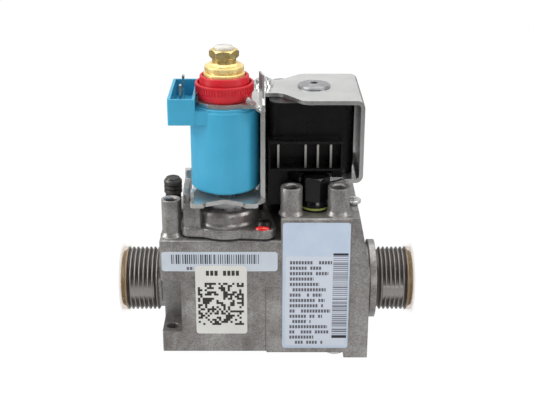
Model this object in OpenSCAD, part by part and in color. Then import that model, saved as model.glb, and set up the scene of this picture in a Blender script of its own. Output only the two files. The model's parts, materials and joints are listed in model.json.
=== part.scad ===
// Combination gas valve: die-cast body, twin solenoid head, modulating
// pressure regulator with its own coil, and two male pipe ports.
// Frame: X along the ports, Y towards the back, Z up. The origin is the
// middle of the footprint on the standing plane. Millimetres.

/* [Ports] */
// Height of the port axis above the standing plane
port_z = 25; // [24.5:0.1:25.5]
// Offset of the port axis from the middle, towards the front
port_y = -1.5; // [-2:0.1:-1]
// Crest radius of the male pipe threads (ISO 228 G 3/4)
thread_crest_r = 13.22; // [13.1:0.01:13.22]
// Root radius of the male pipe threads
thread_root_r = 12.06; // [11.9:0.01:12.1]
// Thread pitch, 14 to the inch
thread_pitch = 1.814; // [1.75:0.001:1.83]
// Crests on the left-hand port
left_turns = 8; // [6:1:8]
// Crests on the right-hand port, which has a collar behind its thread
right_turns = 7; // [5:1:7]
// Distance from the middle to each port's end face
port_end_x = 60.3; // [60:0.1:61]
// Radius of the mouth of each port
port_bore_r = 9.5; // [9.4:0.1:10]
// Length of the mouth, outside the narrower gas way
port_mouth = 6; // [5:0.5:8]
// Radius of the gas way behind the mouth
gas_way_r = 9; // [8:0.1:9]
// Radius of the collar behind the right-hand thread
collar_r = 16.4; // [14:0.1:17]

/* [Body] */
// Left face of the casting
body_left_x = -42.5; // [-43:0.1:-42]
// Right face of the label block
block_right_x = 33.4; // [33:0.1:34]
// Left face of the raised label block
block_left_x = 5.5; // [5:0.1:6]
// Right face of the foot
foot_right_x = 41.1; // [40.5:0.1:41.5]
// Front face of the casting
body_front_y = -25.5; // [-26:0.1:-25]
// Back face of the casting
body_back_y = 24; // [23:0.1:25]
// Underside of the casting, level with the top of the bottom seal
body_base_z = 2.9; // [2.8:0.1:3]
// Top of the low, left-hand part of the casting
low_top_z = 52.4; // [52:0.1:53]
// Top of the raised label block
high_top_z = 62; // [61.5:0.1:62.5]

/* [Labels] */
// Thickness of a paper label
label_t = 0.12; // [0.1:0.01:0.2]
// Right edge of the long strip label
strip_right_x = 4.2; // [2:0.1:4.6]
// Height of the strip label
strip_h = 8.4; // [7:0.1:9]
// Width of the square-code label
code_w = 20.6; // [18:0.1:22]
// Width of the rating label
rating_w = 26.6; // [24:0.1:26.8]

/* [Fixing posts] */
// Outer radius of the two posts on the label block
post_r = 4.3; // [4.2:0.1:4.4]
// Screw hole radius in those posts
post_hole_r = 2.8; // [2.6:0.1:2.9]
// Left post of the label block, X
post_a_x = 9.6; // [9.4:0.1:9.8]
// Right post of the label block, X
post_b_x = 28.2; // [28:0.1:28.4]
// Distance of the posts from the middle, Y
post_y = -19.5; // [-20:0.1:-19]
// Height of the posts' rims
post_top_z = 73.2; // [72:0.1:74]

/* [Solenoid head] */
// Axis of the large safety solenoid, X
ev1_x = 19; // [18.8:0.1:19.2]
// Axis of the large safety solenoid, Y
ev1_y = 8; // [7.8:0.1:8.2]
// Axis of the small pilot solenoid, X
ev2_x = -1.4; // [-1.6:0.1:-1.2]
// Axis of the small pilot solenoid, Y
ev2_y = 10.2; // [10:0.1:10.4]
// Front face of the large coil's moulded block
ev1_block_y = -10.5; // [-11:0.1:-10]
// Radius of the small black coil
ev2_coil_r = 9.6; // [9:0.1:9.7]
// Top face of the solenoid bracket
bracket_top_z = 106; // [105.5:0.1:106.5]
// Thickness of the solenoid bracket's sheet
bracket_t = 1.6; // [1.4:0.1:1.7]
// Right face of the solenoid bracket
bracket_right_x = 38; // [37.8:0.1:38.5]
// Half the depth of the assembly, from the origin to either bracket's outer edge
half_depth = 28; // [27.8:0.1:28.3]
// Lift of the safety solenoid's plunger
ev1_lift = 2.5; // [2:0.1:2.6]
// Lift of the pilot solenoid's plunger
ev2_lift = 0.8; // [0.6:0.1:1]

/* [Modulator] */
// Axis of the blue coil, X
mod_x = -16.4; // [-16.6:0.1:-16.2]
// Axis of the blue coil, Y
mod_y = -10.5; // [-10.7:0.1:-10.3]
// Radius of the blue coil
coil_r = 13.6; // [13:0.1:13.7]
// Underside of the blue coil
coil_base_z = 71; // [70.8:0.1:71.5]
// Height of the blue coil
coil_h = 34; // [33.8:0.1:34]
// Outer radius of the guide tube inside the coil
guide_r = 6; // [5.8:0.1:6.1]
// Rim radius of the red ring nut
ring_nut_r = 11.4; // [11:0.1:11.5]
// Ribs round the red ring nut
ring_nut_ribs = 60; // [24:4:72]
// Width across the flats of the adjusting nut
adjust_af = 10; // [9.8:0.1:10]
// Stroke of the modulator's armature
mod_stroke = 1.2; // [0.8:0.1:1.4]

/* [Regulator and main valve] */
// Radius of the regulator drum
drum_r = 13; // [12.6:0.1:13.2]
// Radius of the regulator flange's front arc
flange_r = 15.5; // [15:0.1:15.6]
// Axis of the main valve, X
main_x = -16.4; // [-17:0.1:-16]
// Axis of the main valve, Y
main_y = -3; // [-3.2:0.1:-2.8]
// Lift of the main valve
main_lift = 2.5; // [2:0.1:2.8]
// Radius of the main valve's well
main_well_r = 10; // [9.8:0.1:10.2]

/* [Hidden] */

$fn = 48;
eps = 0.01;
fit_gap = 0.05;              // radial clearance of a running fit
slip_gap = 0.1;              // clearance between stacked pieces that lift off
small_gap = 0.3;             // clearance between pieces that pass each other

cast_grey = [0.59, 0.57, 0.55];
zinc = [0.79, 0.80, 0.79];
steel = [0.62, 0.63, 0.65];
brass_colour = [0.80, 0.62, 0.34];
copper = [0.72, 0.42, 0.24];
black = [0.06, 0.06, 0.07];
blue = [0.29, 0.62, 0.78];
red = [0.80, 0.15, 0.19];
amber = [0.80, 0.62, 0.30, 0.5];
rubber_colour = [0.12, 0.12, 0.12];

end_chamfer = 1.2;
neck_r = thread_root_r - 0.1;
collar_x = [42.2, 44.9];
seal_t = 0.5;
seal_band = 2.6;
seal_r = 14.8;
seal_x = port_end_x + slip_gap;

edge_r = 0.9;
block_step = 0.4;
label_edge = 0.7;
strip_z = 39.4;
code_right_x = -8;
code_z = [11.5, 41.8];
rating_z = [5, 60.4];

post_l_x = -37.9;
post_l_y = -18.5;
post_l_r = 3.8;
post_l_hole_r = 2.3;
post_l_top_z = 67.6;
notch_x = -34.5;
notch_y = -12.1;
notch_z = [12.2, 35];
foot_hole_x = -38.7;
foot_hole_y = -20.2;
foot_hole_r = 2.4;

ev1_chamber_r = 11.5;
ev1_seat_z = 40;
ev1_seat_r = [5.5, 7];
turret_r = 15.5;
turret_z = 69.5;
gasket_t = 0.8;
tube_flange_z = turret_z + gasket_t;
tube_flange_t = 2;
lip_z = tube_flange_z + tube_flange_t;
coil_floor_z = 77.5;
lip_front_y = -6.6;
coil_seat_z = lip_z + bracket_t + 0.1;
block_x = bracket_right_x - bracket_t - 2;
ev1_bobbin_r = [9.2, 12.5];
ev2_bobbin_r = [5.4, 7.7];
coil_top_z = bracket_top_z - bracket_t - 0.1;
tongue_y = -2;
ev1_tube_r = [7.4, 8.2];
ev1_core_z = 92;
ev2_boss_r = 7;
ev2_boss_z = 60;
ev2_seat_z = 50;
ev2_tube_r = [3.6, 4.4];
ev2_core_z = 90;
skirt_z = 63;

channel_z = [6, 12.6];
seat_ring_z = [13, 16.5];
main_top_z = 40;
diaphragm_r = 13;
regulator_z = 46;
gasket_top_z = low_top_z + 0.9;
flange_top_z = gasket_top_z + 3.5;
drum_top_z = 63.3;
// Cover screws: front right, back right, back left
cover_screw_at = [[-1.2, -20.9], [-4.6, -1], [-28.4, -1]];
cover_corner_l = [-29.6, -18.4];
screw_head_r = 3.1;
cover_corner_r = 4.8;
side_wall_x = [-33, -30.7];
cover_screw_r = 1.9;

plate_z = 67.3;
plate_t = 1.8;
plate_left_x = -29.6;
leg_y = -21.5;
leg_w = 19;
washer_r = 12;
leg_x = mod_x + coil_r + small_gap;
guide_bore_r = 4.8;
mod_plate_z = coil_base_z + coil_h;
ring_z = mod_plate_z + plate_t - 0.1;
guide_top_z = ring_z + 6.3;
head_z = ring_z + 8.1;       // underside of the brass head
stem_z = ring_z + 1.3;       // end of the brass head's stem in the guide tube
hex_z = head_z + 7.6;
nylon_z = hex_z + 0.7;
armature_z = [coil_base_z + 5, stem_z - 10];
socket_x = [mod_x - 21.3, mod_x - 10.9];
socket_y = [-23, 8];
socket_z = [mod_plate_z - 5.9, mod_plate_z + 4.2];

cap_x = 19.2;
cap_y = -13.6;
cap_seal_h = 1.5;
nipple_x = -38.4;
nipple_y = -1.5;
side_screw_x = 34.6;
side_screw_y = -8.5;
side_screw_r = 1.6;

bottom_plate_z = 1;
bottom_plate_t = 1.5;
bottom_screw_at = [[-29, -15], [27.8, -20], [-29, 18], [27.8, 18]];

// ---------- Shared shapes ----------

// Upright block from corner to corner with rounded upright edges
module rounded_block(low, high, r) {
    size = high - low;
    translate([low[0], low[1] + r, low[2]]) cube([size[0], size[1] - 2 * r, size[2]]);
    translate([low[0] + r, low[1], low[2]]) cube([size[0] - 2 * r, size[1], size[2]]);
    for (x = [low[0] + r, high[0] - r], y = [low[1] + r, high[1] - r])
        translate([x, y, low[2]]) cylinder(r = r, h = size[2]);
}

// Flat rectangle from corner to corner with rounded corners
module rounded_rect(low, high, r) {
    size = high - low;
    translate([low[0] + r, low[1]]) square([size[0] - 2 * r, size[1]]);
    translate([low[0], low[1] + r]) square([size[0], size[1] - 2 * r]);
    for (x = [low[0] + r, high[0] - r], y = [low[1] + r, high[1] - r])
        translate([x, y]) circle(r = r);
}

// Block from corner to corner with every edge rounded
module soft_block(low, high, r) {
    intersection() {
        translate([0, 0, low[2]]) linear_extrude(height = high[2] - low[2])
            rounded_rect([low[0], low[1]], [high[0], high[1]], r);
        translate([0, high[1], 0]) rotate([90, 0, 0]) linear_extrude(height = high[1] - low[1])
            rounded_rect([low[0], low[2]], [high[0], high[2]], r);
        translate([low[0], 0, 0]) rotate([90, 0, 90]) linear_extrude(height = high[0] - low[0])
            rounded_rect([low[1], low[2]], [high[1], high[2]], r);
    }
}

// Upright cylinder from z0 to z1
module rod(x, y, z0, z1, r) {
    translate([x, y, z0]) cylinder(r = r, h = z1 - z0);
}

// Upright tube from z0 to z1
module tube(x, y, z0, z1, inner, outer) {
    difference() {
        rod(x, y, z0, z1, outer);
        rod(x, y, z0 - 1, z1 + 1, inner);
    }
}

// Helical compression spring standing at z0
module spring(z0, height, r, wire_r, turns) {
    translate([0, 0, z0])
        linear_extrude(height = height, twist = -360 * turns, slices = 12 * turns, segments = 6)
            translate([r, 0]) circle(r = wire_r, $fn = 6);
}

// Male thread with narrow crest flats, from its first root to the end face,
// as profile points with the distance from the middle as their second value
function thread_points(turns) =
    let (flank = 0.34 * thread_pitch, flat = 0.16 * thread_pitch,
         start = port_end_x - end_chamfer - turns * thread_pitch)
    concat([for (i = [0 : turns - 1]) let (z = start + i * thread_pitch + flat / 2)
                each [[thread_root_r, z], [thread_crest_r, z + flank],
                      [thread_crest_r, z + flank + flat], [thread_root_r, z + 2 * flank + flat]]],
           [[thread_root_r - 0.7, port_end_x], [0, port_end_x]]);

// Left-hand port: short neck and thread
module left_port() {
    at_port(-1, 0) rotate_extrude($fn = 96)
        polygon(concat([[0, -body_left_x - 2], [neck_r, -body_left_x - 2],
                        [neck_r, -body_left_x + 1.6]], thread_points(left_turns)));
}

// Right-hand port: shoulder, round collar, neck and thread
module right_port() {
    at_port(1, 0) rotate_extrude($fn = 96)
        polygon(concat([[0, foot_right_x - 2], [14, foot_right_x - 2], [14, collar_x[0]],
                        [collar_r, collar_x[0]], [collar_r, collar_x[1]],
                        [neck_r, collar_x[1]], [neck_r, collar_x[1] + 1]],
                       thread_points(right_turns)));
}

// Places children with +Z turned to point out of a port: side is 1 for +X
module at_port(side, x) {
    translate([side * x, port_y, port_z]) rotate([0, side * 90, 0]) children();
}

// Pan-head screw, head up, underside of the head at z = 0
module pan_screw(head_r, head_h, shank_r, shank_len) {
    difference() {
        union() {
            rotate_extrude() polygon([[0, 0], [head_r, 0], [head_r, 0.55 * head_h],
                                      [0.8 * head_r, head_h], [0, head_h]]);
            translate([0, 0, -shank_len]) cylinder(r = shank_r, h = shank_len + eps);
        }
        translate([0, 0, 0.45 * head_h]) cross_recess(head_r, head_h);
    }
}

// Cross-shaped driver recess
module cross_recess(head_r, depth) {
    for (a = [0, 90])
        rotate(a) translate([-0.5 * head_r, -0.12 * head_r, 0])
            cube([head_r, 0.24 * head_r, depth]);
}

// ---------- Casting ----------

module casting_outside() {
    soft_block([body_left_x, body_front_y, body_base_z],
               [block_left_x + 4, body_back_y, low_top_z], edge_r);
    rounded_block([-0.3, body_front_y - block_step, body_base_z],
                  [block_right_x, body_back_y, port_z + 7], 0.4);
    soft_block([block_left_x, body_front_y - block_step, body_base_z],
               [block_right_x, body_back_y - 0.1, high_top_z], edge_r);
    foot();
    rod(ev1_x, ev1_y, high_top_z - 0.2, turret_z, turret_r);
    rod(ev2_x, ev2_y, low_top_z - 1, ev2_boss_z, ev2_boss_r);
    for (x = [post_a_x, post_b_x]) post(x, post_y, high_top_z, post_top_z, post_r);
    post(post_l_x, post_l_y, low_top_z, post_l_top_z, post_l_r);
    rod(nipple_x, nipple_y, low_top_z - 1, low_top_z + 2, 4);
    left_port();
    right_port();
}

// Fixing post with a flared root
module post(x, y, z0, z1, r) {
    rod(x, y, z0 - 1, z1, r);
    translate([x, y, z0 - eps]) cylinder(r1 = r + 0.8, r2 = r - eps, h = 1.6);
}

// Side plate that ends in the standing foot and leans in towards its top
module foot() {
    slope = [[block_right_x - 2, 0], [foot_right_x, 0], [foot_right_x, 39.3],
             [36.5, high_top_z], [block_right_x - 2, high_top_z]];
    translate([0, body_back_y - 2, 0]) rotate([90, 0, 0])
        linear_extrude(height = body_back_y - 2 - body_front_y - 0.4) polygon(slope);
}

// Channel under both valves
module lower_channel() {
    translate([main_x, main_y - 4, channel_z[0]])
        cube([ev1_x + 4 - main_x, 16, channel_z[1] - channel_z[0]]);
}

// Servo passages and the chambers under the pilot valve and the regulator
module servo_hollows() {
    rod(main_x, main_y, main_top_z - 1, regulator_z + 1, 1.2);
    rod(mod_x, mod_y, regulator_z, low_top_z + 1, 11);
    rod(ev2_x, ev2_y, ev2_seat_z - 8, ev2_boss_z + 1, 2);
    rod(ev2_x, ev2_y, ev2_seat_z, ev2_boss_z + 1, 4.9);
}

module post_holes() {
    for (x = [post_a_x, post_b_x]) {
        rod(x, post_y, post_top_z - 14, post_top_z + 1, post_hole_r);
        countersink(x, post_y, post_top_z, post_hole_r);
    }
    rod(post_l_x, post_l_y, post_l_top_z - 14, post_l_top_z + 1, post_l_hole_r);
    countersink(post_l_x, post_l_y, post_l_top_z, post_l_hole_r);
}

// Notch at the front left corner, with its upright screw hole
module corner_notch() {
    translate([body_left_x - 1, body_front_y - 1, notch_z[0]])
        cube([notch_x - body_left_x + 1, notch_y - body_front_y + 1,
              notch_z[1] - notch_z[0]]);
    rod(foot_hole_x, foot_hole_y, 0, notch_z[0] + 1, foot_hole_r);
}

// Tapped holes for the pieces that screw into the casting
module screw_hollows() {
    rod(cap_x, cap_y, 50, high_top_z + 5, 3.1);
    translate([cap_x, cap_y, high_top_z - 0.4]) cylinder(r = 6, h = 4);
    rod(nipple_x, nipple_y, 46, low_top_z + 3, 2.6);
    rod(side_screw_x, side_screw_y, 52, high_top_z + 1, side_screw_r);
    for (at = cover_screw_at) rod(at[0], at[1], low_top_z - 10, low_top_z + 1, cover_screw_r);
    for (at = bottom_screw_at) rod(at[0], at[1], 0, 11, 1.5);
    for (x = [-1, 1]) rod(ev1_x + 13.2 * x, ev1_y, 60, turret_z + 1, 1.1);
}

// Chamfer at the mouth of a post's hole
module countersink(x, y, z, r) {
    translate([x, y, z - 0.7]) cylinder(r1 = r - 0.1, r2 = r + 0.7, h = 0.8);
}

module body_casting() {
    color(cast_grey) difference() {
        union() {
            difference() {
                casting_outside();
                at_port(1, ev1_x + 4) cylinder(r = gas_way_r, h = 50);
                at_port(-1, 2 - main_x) cylinder(r = gas_way_r, h = 50);
                for (side = [-1, 1])
                    at_port(side, port_end_x - port_mouth) cylinder(r = port_bore_r, h = 10);
                rod(ev1_x, ev1_y, channel_z[1] + 2.5, turret_z + 1, ev1_chamber_r);
                lower_channel();
                // well of the main valve, open below for its diaphragm
                rod(main_x, main_y, 0, main_top_z, main_well_r);
                rod(main_x, main_y, 0, channel_z[0] - 0.8, diaphragm_r);
                servo_hollows();
                post_holes();
                corner_notch();
                screw_hollows();
            }
            // upright seat pipe of the safety valve
            rod(ev1_x, ev1_y, channel_z[1] + 0.6, ev1_seat_z, ev1_seat_r[1]);
        }
        rod(ev1_x, ev1_y, channel_z[1] - 1, ev1_seat_z + 1, ev1_seat_r[0]);
    }
}

// Upright label of thickness t on a front face at y
module label(low, high, y, t) {
    translate([0, y, 0]) rotate([90, 0, 0])
        linear_extrude(height = t) rounded_rect(low, high, 1.2, $fn = 24);
}

module strip_label() {
    color([0.80, 0.84, 0.89])
        label([body_left_x + label_edge, strip_z], [strip_right_x, strip_z + strip_h],
              body_front_y, label_t);
}

// Label stuck partly over the strip label
module code_label() {
    x0 = code_right_x - code_w;
    color([0.87, 0.87, 0.83]) {
        label([x0, code_z[0]], [code_right_x, code_z[1]], body_front_y - 1.1 * label_t, label_t);
        label([x0, code_z[0]], [code_right_x, strip_z - 0.1], body_front_y, 1.2 * label_t);
    }
}

module rating_label() {
    color([0.80, 0.84, 0.89])
        label([block_left_x + label_edge, rating_z[0]],
              [block_left_x + label_edge + rating_w, rating_z[1]],
              body_front_y - block_step, label_t);
}

// Thin cap over the last thread and the mouth of a port
module dust_seal(side) {
    color(amber) at_port(side, seal_x) {
        cylinder(r = seal_r, h = seal_t);
        difference() {
            translate([0, 0, -seal_band]) cylinder(r = thread_crest_r + 0.75, h = seal_band + eps);
            translate([0, 0, -seal_band - 1])
                cylinder(r = thread_crest_r + fit_gap, h = seal_band + 1);
        }
    }
}

module left_dust_seal() { dust_seal(-1); }
module right_dust_seal() { dust_seal(1); }

// Cup-shaped strainer in the right-hand gas way
module inlet_filter() {
    filter_len = 20;
    color(steel) at_port(1, port_end_x - port_mouth - filter_len - 0.3) difference() {
        cylinder(r = gas_way_r, h = filter_len);
        translate([0, 0, 0.8]) cylinder(r = gas_way_r - 0.8, h = filter_len);
        for (a = [0 : 30 : 150])
            rotate(a) translate([-gas_way_r - 1, -0.6, 3])
                cube([2 * gas_way_r + 2, 1.2, filter_len - 6]);
    }
}

// ---------- Underside ----------

module bottom_outline(z, h) {
    rounded_block([-36, -19.5, z], [34, 22, z + h], 4);
    rod(bottom_screw_at[1][0], bottom_screw_at[1][1], z, z + h, 4);
}

module bottom_cover() {
    color(zinc) difference() {
        union() {
            bottom_outline(bottom_plate_z, bottom_plate_t);
            rod(main_x, main_y, 0, bottom_plate_z + eps, diaphragm_r - 1);
        }
        rod(main_x, main_y, bottom_plate_z, 3, diaphragm_r - 2.5);
        for (at = bottom_screw_at) rod(at[0], at[1], 0, 3, 1.6);
        foot_clearance();
    }
}

// Space kept for the standing foot beside the bottom cover
module foot_clearance() {
    translate([block_right_x - 2.2, -30, -1]) cube([20, 60, 3.9]);
}

module bottom_gasket() {
    color(rubber_colour) difference() {
        bottom_outline(bottom_plate_z + bottom_plate_t, body_base_z - bottom_plate_z - bottom_plate_t);
        rod(main_x, main_y, 0, 4, diaphragm_r);
        for (at = bottom_screw_at) rod(at[0], at[1], 0, 4, 1.6);
        foot_clearance();
    }
}

module bottom_cover_screws() {
    color(black) for (at = bottom_screw_at)
        translate([at[0], at[1], bottom_plate_z]) rotate([180, 0, 0])
            pan_screw(2.9, bottom_plate_z, 1.5, 8);
}

// Domed rubber diaphragm; its rim is gripped by the bottom seal
module main_diaphragm() {
    rim_z = bottom_plate_z + bottom_plate_t;
    color(rubber_colour) translate([main_x, main_y, rim_z]) rotate_extrude()
        polygon([[0, 1.9], [8, 1.9], [10.5, 0.9], [diaphragm_r - 0.1, 0],
                 [diaphragm_r - 0.1, 0.4], [10.7, 1.3], [8.2, 2.3], [0, 2.3]]);
}

// ---------- Main valve ----------

module main_valve() {
    plate_z0 = bottom_plate_z + bottom_plate_t + 2.35;
    color(steel) translate([main_x, main_y, 0]) {
        translate([0, 0, plate_z0]) cylinder(r = 7.5, h = 1.2);
        translate([0, 0, plate_z0]) cylinder(r = 1.8, h = 22 - plate_z0);
        translate([0, 0, seat_ring_z[1] + 1.3]) cylinder(r = 8.4, h = 1.4);
    }
}

module main_valve_disc() {
    color(rubber_colour)
        tube(main_x, main_y, seat_ring_z[1] + 0.1, seat_ring_z[1] + 1.3, 1.85, 8.2);
}

module main_seat_ring() {
    color(brass_colour) tube(main_x, main_y, seat_ring_z[0], seat_ring_z[1], 6, main_well_r);
}

module main_spring() {
    z0 = seat_ring_z[1] + 2.8;
    color(steel) translate([main_x, main_y, 0]) spring(z0, main_top_z - z0 - 0.1, 6, 0.5, 5);
}

// ---------- Regulator ----------

module flange_outline(z, h, grow) {
    rod(mod_x, mod_y, z, z + h, flange_r + grow);
    hull() {
        for (at = concat(cover_screw_at, [cover_corner_l]))
            rod(at[0], at[1], z, z + h, cover_corner_r + grow, $fn = 32);
    }
}

// Space kept round the left fixing post and its flared root
module post_relief(z0, z1) {
    rod(post_l_x, post_l_y, z0, z1, post_l_r + 0.8 + small_gap);
}

module screw_holes_cover(z0, z1) {
    for (at = cover_screw_at) rod(at[0], at[1], z0, z1, cover_screw_r);
}

module regulator_gasket() {
    color(rubber_colour) difference() {
        flange_outline(low_top_z, gasket_top_z - low_top_z, -0.3);
        rod(mod_x, mod_y, low_top_z - 1, gasket_top_z + 1, 11);
        screw_holes_cover(low_top_z - 1, gasket_top_z + 1);
        post_relief(low_top_z - 1, gasket_top_z + 1);
    }
}

module regulator_cover() {
    color(cast_grey) difference() {
        union() {
            flange_outline(gasket_top_z, flange_top_z - gasket_top_z, 0);
            translate([mod_x, mod_y, flange_top_z - eps]) rotate_extrude()
                polygon([[0, 0], [drum_r + 1.4, 0], [drum_r + 0.4, 0.5], [drum_r, 1.6],
                         [drum_r, 4.6], [drum_r - 0.5, 5.9], [drum_r - 1.8, 6.5], [0, 6.5]]);
            // corner pillar in front of the drum
            rounded_block([side_wall_x[0], -22.3, flange_top_z - eps],
                          [-26.1, -14, plate_z - 0.8], 1);
            side_wall();
        }
        // chamber over the diaphragm, and the guide tube's seat
        translate([mod_x, mod_y, gasket_top_z - 1]) cylinder(r = 9.5, h = 7);
        rod(mod_x, mod_y, gasket_top_z - 1, drum_top_z + 1, guide_r);
        screw_holes_cover(gasket_top_z - 1, flange_top_z + 1);
        for (at = cover_screw_at)
            rod(at[0], at[1], flange_top_z, drum_top_z + 1, screw_head_r + small_gap);
        post_relief(gasket_top_z - 1, plate_z + 10);
    }
}

// Wall up the left side of the drum, ending in a rounded finger behind
module side_wall() {
    translate([side_wall_x[0], 0, 0]) rotate([90, 0, 90])
        linear_extrude(height = side_wall_x[1] - side_wall_x[0])
            polygon([[-20.6, flange_top_z - eps], [-20.6, 66], [-19.4, 69.6], [-16, 71.2],
                     [-7, 71.8], [-5.5, 73.2], [-4.4, 74.4], [-2.8, 74.9], [-1.2, 74.2],
                     [-0.4, 72.8], [-0.4, 61], [-1.4, flange_top_z - eps]]);
}

module cover_screws() {
    color(black) for (at = cover_screw_at)
        translate([at[0], at[1], flange_top_z]) pan_screw(screw_head_r, 2.3, cover_screw_r, 11);
}

// Drop of sealing lacquer on the flange in front of a cover screw
module seal_lacquer() {
    color(red) difference() {
        translate([-1.7, -23.6, flange_top_z]) intersection() {
            scale([2.9, 1.9, 1.3]) sphere(r = 1, $fn = 24);
            translate([-5, -5, 0]) cube(10);
        }
        rod(cover_screw_at[0][0], cover_screw_at[0][1], flange_top_z - 1, 70, screw_head_r + 0.1);
    }
}

// Domed servo diaphragm, pressed down by the armature's pin
module regulator_diaphragm() {
    color(rubber_colour) translate([mod_x, mod_y, gasket_top_z - 0.6]) rotate_extrude()
        polygon([[0, 2.6], [5, 2.6], [8, 0.6], [9.3, 0], [9.3, 0.5], [8.2, 1.1], [5.2, 3], [0, 3]]);
}

// ---------- Modulator ----------

module modulator_bracket() {
    foot_y = -half_depth;
    color(zinc) difference() {
        union() {
            bracket_base(foot_y);
            // upright leg on the right of the coil
            translate([leg_x, leg_y, plate_z + eps])
                cube([plate_t, leg_w, mod_plate_z - plate_z - 1]);
            bracket_tongue();
            earth_tabs();
            // small lug turned up at the left
            translate([plate_left_x, -24.6, plate_z]) cube([1.2, 3.4, 5.4]);
        }
        rod(mod_x, mod_y, plate_z - 1, plate_z + plate_t + 1, guide_r + 0.15);
    }
}

// Lower plate with two front feet and a shallow notch between them
module bracket_base(foot_y) {
    right_x = leg_x + plate_t;
    translate([0, 0, plate_z]) linear_extrude(height = plate_t)
        polygon([[plate_left_x, foot_y + 0.8], [plate_left_x + 0.8, foot_y], [-24.6, foot_y],
                 [-23.6, foot_y + 1.6], [mod_x, foot_y + 4.8], [-9.4, foot_y + 1.6],
                 [-8.4, foot_y], [-4.2, foot_y], [-3.4, foot_y + 0.8], [-3.2, foot_y + 3.4],
                 [right_x, foot_y + 6.2], [right_x, 1.5], [plate_left_x, 1.5]]);
}

// Upper plate: a round washer over the coil, cut straight beside the plug
// socket and joined to the leg
module bracket_tongue() {
    z0 = mod_plate_z + 0.1;
    t = ring_z - 0.05 - z0;
    difference() {
        union() {
            rod(mod_x, mod_y, z0, z0 + t, washer_r);
            translate([mod_x + 4, leg_y + 0.6, z0]) cube([leg_x + plate_t - mod_x - 4, leg_w - 0.6, t]);
            translate([leg_x, leg_y, z0 - 3]) cube([plate_t, leg_w, t + 3]);
        }
        rod(mod_x, mod_y, z0 - 1, ring_z + 1, guide_r + 0.15);
        translate([socket_x[1] - 10, -30, z0 - 1]) cube([10 + small_gap, 40, t + 2]);
    }
}

// Two earth blades: one upright, one bent over towards the coil
module earth_tabs() {
    tab_w = 6.3;
    blade = 0.8;
    x = leg_x + plate_t - 0.5;
    translate([x - 0.2, -14.2, ring_z - 1]) rotate(12)
        translate([-blade / 2, 0, 0]) cube([blade, tab_w, 10.8]);
    // shoulder that carries the bent blade in front of the leg
    translate([leg_x + 0.5, leg_y - 3, ring_z - 5]) cube([plate_t - 0.5, 6.2, 3.6]);
    translate([x, leg_y - 3, ring_z - 2.3]) rotate([0, -52, 0])
        translate([-blade, 0, 0]) cube([blade, tab_w, 8]);
}

// Guide tube of the modulator, with its shoulder on the drum
module guide_tube() {
    color(steel) difference() {
        union() {
            rod(mod_x, mod_y, gasket_top_z + 6.5, guide_top_z, guide_r);
            rod(mod_x, mod_y, drum_top_z + 0.05, plate_z, 9.5);
        }
        rod(mod_x, mod_y, gasket_top_z, guide_top_z + 1, guide_bore_r);
    }
}

module modulator_coil() {
    wall = 1.1;
    top = mod_plate_z;
    color(blue) difference() {
        union() {
            translate([mod_x, mod_y, coil_base_z]) rotate_extrude($fn = 96)
                polygon([[0, 0], [coil_r - 0.9, 0], [coil_r, 0.9], [coil_r, coil_h - 1.6],
                         [coil_r - 0.6, coil_h - 0.9], [coil_r - 0.6, coil_h - 0.3],
                         [coil_r - 0.9, coil_h], [0, coil_h]]);
            coil_arm();
            rounded_block([socket_x[0], socket_y[0], socket_z[0]],
                          [socket_x[1], socket_y[1], socket_z[1]], 0.8);
        }
        rod(mod_x, mod_y, coil_base_z - 1, top + 1, guide_r + fit_gap + 0.1);
        tube(mod_x, mod_y, coil_base_z + 3, top - 4, guide_r + 1.2, coil_r - 2);
        translate([socket_x[0] + wall, socket_y[0] + wall, socket_z[0] + 3.4])
            cube([socket_x[1] - socket_x[0] - 2 * wall, socket_y[1] - socket_y[0] - 2 * wall, 20]);
        for (y = terminal_y) blade_slot(y);
        // relief for the ring nut in the socket's wall
        rod(mod_x, mod_y, ring_z - 0.3, socket_z[1] + 1, ring_nut_r);
    }
}

terminal_x = socket_x[0] + 4.8;
terminal_y = [-17.5, -2.5];
blade_w = 2.8;
blade_t = 0.8;

module blade_slot(y) {
    translate([terminal_x - blade_t / 2, y - blade_w / 2, socket_z[0] + 0.8])
        cube([blade_t, blade_w, 4]);
}

// Arm that carries the socket, running back from the coil's side
module coil_arm() {
    translate([socket_x[1] - 1, socket_y[0] + 0.4, socket_z[0]])
        cube([12, 21, mod_plate_z - socket_z[0] - 0.6]);
}

module modulator_winding() {
    color(copper) tube(mod_x, mod_y, coil_base_z + 3.05, mod_plate_z - 4.05,
                       guide_r + 1.2 + fit_gap, coil_r - 2 - fit_gap);
}

module modulator_terminals() {
    color(steel) for (y = terminal_y)
        translate([terminal_x - blade_t / 2, y - blade_w / 2, socket_z[0] + 0.8])
            cube([blade_t, blade_w, socket_z[1] + 4.3 - socket_z[0] - 0.8]);
}

// Steel armature with its push pin
module armature() {
    color(steel) {
        rod(mod_x, mod_y, armature_z[0], armature_z[1], guide_bore_r - fit_gap);
        rod(mod_x, mod_y, gasket_top_z + 2.45, armature_z[0] + 1, 1.5);
    }
}

module modulator_spring() {
    color(steel) translate([mod_x, mod_y, 0])
        spring(armature_z[1] + 0.1, stem_z - armature_z[1] - 0.2, 3.4, 0.4, 4);
}

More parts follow.
